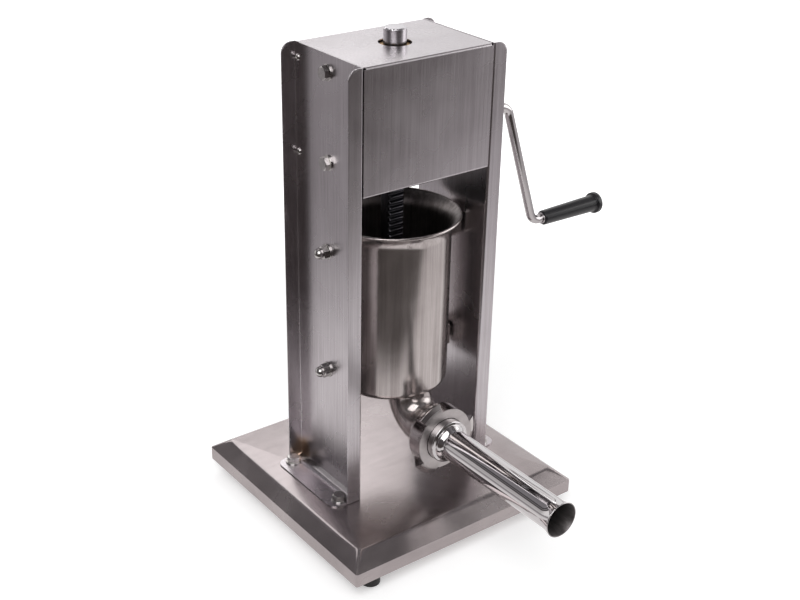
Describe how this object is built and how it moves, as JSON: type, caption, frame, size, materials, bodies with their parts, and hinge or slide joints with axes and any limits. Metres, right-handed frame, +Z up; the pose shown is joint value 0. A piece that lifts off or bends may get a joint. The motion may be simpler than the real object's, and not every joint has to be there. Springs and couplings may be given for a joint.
{
  "type": "sausage stuffer",
  "caption": "Upright hand-cranked sausage stuffer: pressed tray, flanged side plates, gear head with rack rod and piston, round barrel, spout and tube with ring nut.",
  "frame": {"origin": "on the table under the axis of the barrel, midway between the side plates", "axes": "+Z up along the rack rod; +Y towards the rear, so the spout and the stuffing tube point to -Y; +X towards the crank side"},
  "size_m": [0.4335, 0.4331, 0.5456],
  "materials": {
    "brushed_stainless": "brushed stainless sheet",
    "polished_stainless": "polished stainless steel",
    "ground_rod": "ground and polished steel rod",
    "machined_steel": "machined steel",
    "spring_steel": "blackened spring steel",
    "plated_fasteners": "bright stainless fasteners",
    "bush_brass": "turned brass",
    "piston_nylon": "machined food-grade nylon",
    "silicone_rubber": "moulded silicone rubber",
    "grip_plastic": "gloss moulded plastic",
    "foot_rubber": "moulded rubber"
  },
  "bodies": {
    "stand": {"tray": "brushed_stainless", "front_left_foot": "foot_rubber", "front_right_foot": "foot_rubber", "rear_left_foot": "foot_rubber", "rear_right_foot": "foot_rubber", "foot_screws": "plated_fasteners", "foot_nuts": "plated_fasteners", "left_side_plate": "brushed_stainless", "right_side_plate": "brushed_stainless", "sole_washers": "plated_fasteners", "sole_bolts": "plated_fasteners", "sole_nuts": "plated_fasteners", "front_cover": "brushed_stainless", "rear_cover": "brushed_stainless", "cover_screws": "plated_fasteners", "cover_nuts": "plated_fasteners", "left_bearing_plate": "machined_steel", "right_bearing_plate": "machined_steel", "head_washers": "plated_fasteners", "head_bolts": "plated_fasteners", "guide_plate_screws": "plated_fasteners", "lower_guide_plate": "machined_steel", "upper_guide_plate": "machined_steel", "rod_bushes": "bush_brass", "crank_shaft_bushes": "bush_brass", "slow_shaft_bushes": "bush_brass", "lower_pegs": "plated_fasteners", "upper_pegs": "plated_fasteners", "peg_washers": "plated_fasteners", "dome_nuts": "plated_fasteners", "barrel": "polished_stainless", "spout": "polished_stainless", "spout_thread": "polished_stainless", "left_barrel_ear": "polished_stainless", "right_barrel_ear": "polished_stainless", "left_barrel_catch": "polished_stainless", "right_barrel_catch": "polished_stainless", "spout_gasket": "silicone_rubber"},
    "crank_shaft": {"crank_shaft": "machined_steel", "rack_pinion": "machined_steel", "drive_gear": "machined_steel", "shaft_keys": "machined_steel", "crank_shaft_circlips": "spring_steel", "crank_shaft_pin": "machined_steel"},
    "slow_shaft": {"slow_pinion_shaft": "machined_steel", "slow_shaft_circlips": "spring_steel", "slow_shaft_pin": "machined_steel"},
    "crank": {"crank_socket": "polished_stainless", "crank_arm": "polished_stainless", "grip_nut": "plated_fasteners"},
    "grip": {"crank_grip": "grip_plastic"},
    "rack": {"rack_rod": "ground_rod", "piston": "piston_nylon", "piston_seal": "silicone_rubber", "piston_screw": "plated_fasteners", "valve_sleeve": "polished_stainless"},
    "valve": {"valve_poppet": "polished_stainless"},
    "tube": {"stuffing_tube": "polished_stainless"},
    "ring_nut": {"ring_nut": "polished_stainless"}
  },
  "joints": [
    {"name": "rack_lift", "type": "slide", "parent": "stand", "child": "rack", "axis": [0, 0, 1], "range_m": [0, 0.19]},
    {"name": "crank_turn", "type": "hinge", "parent": "stand", "child": "crank_shaft", "pos_m": [0, -0.0235, 0.4463], "axis": [1, 0, 0], "range_deg": [0, 726]},
    {"name": "slow_shaft_turn", "type": "hinge", "parent": "stand", "child": "slow_shaft", "pos_m": [0, -0.0235, 0.48455], "axis": [1, 0, 0], "range_deg": [-2122, 0]},
    {"name": "crank_pull", "type": "slide", "parent": "crank_shaft", "child": "crank", "axis": [1, 0, 0], "range_m": [0, 0.03]},
    {"name": "grip_spin", "type": "hinge", "parent": "crank", "child": "grip", "pos_m": [0.24, -0.0235, 0.3018], "axis": [1, 0, 0], "continuous": true},
    {"name": "valve_lift", "type": "slide", "parent": "rack", "child": "valve", "axis": [0, 0, 1], "range_m": [0, 0.002]},
    {"name": "tube_advance", "type": "slide", "parent": "stand", "child": "tube", "axis": [0, -1, 0], "range_m": [0, 0.0121]},
    {"name": "nut_turn", "type": "hinge", "parent": "tube", "child": "ring_nut", "pos_m": [0, -0.09, 0.1175], "axis": [0, -1, 0], "range_deg": [0, 1080]}
  ],
  "couplings": [
    {"joint": "crank_turn", "follows": "rack_lift", "rad_per_m": 66.667},
    {"joint": "slow_shaft_turn", "follows": "rack_lift", "rad_per_m": -194.87},
    {"joint": "tube_advance", "follows": "nut_turn", "m_per_rad": 0.00063662}
  ]
}
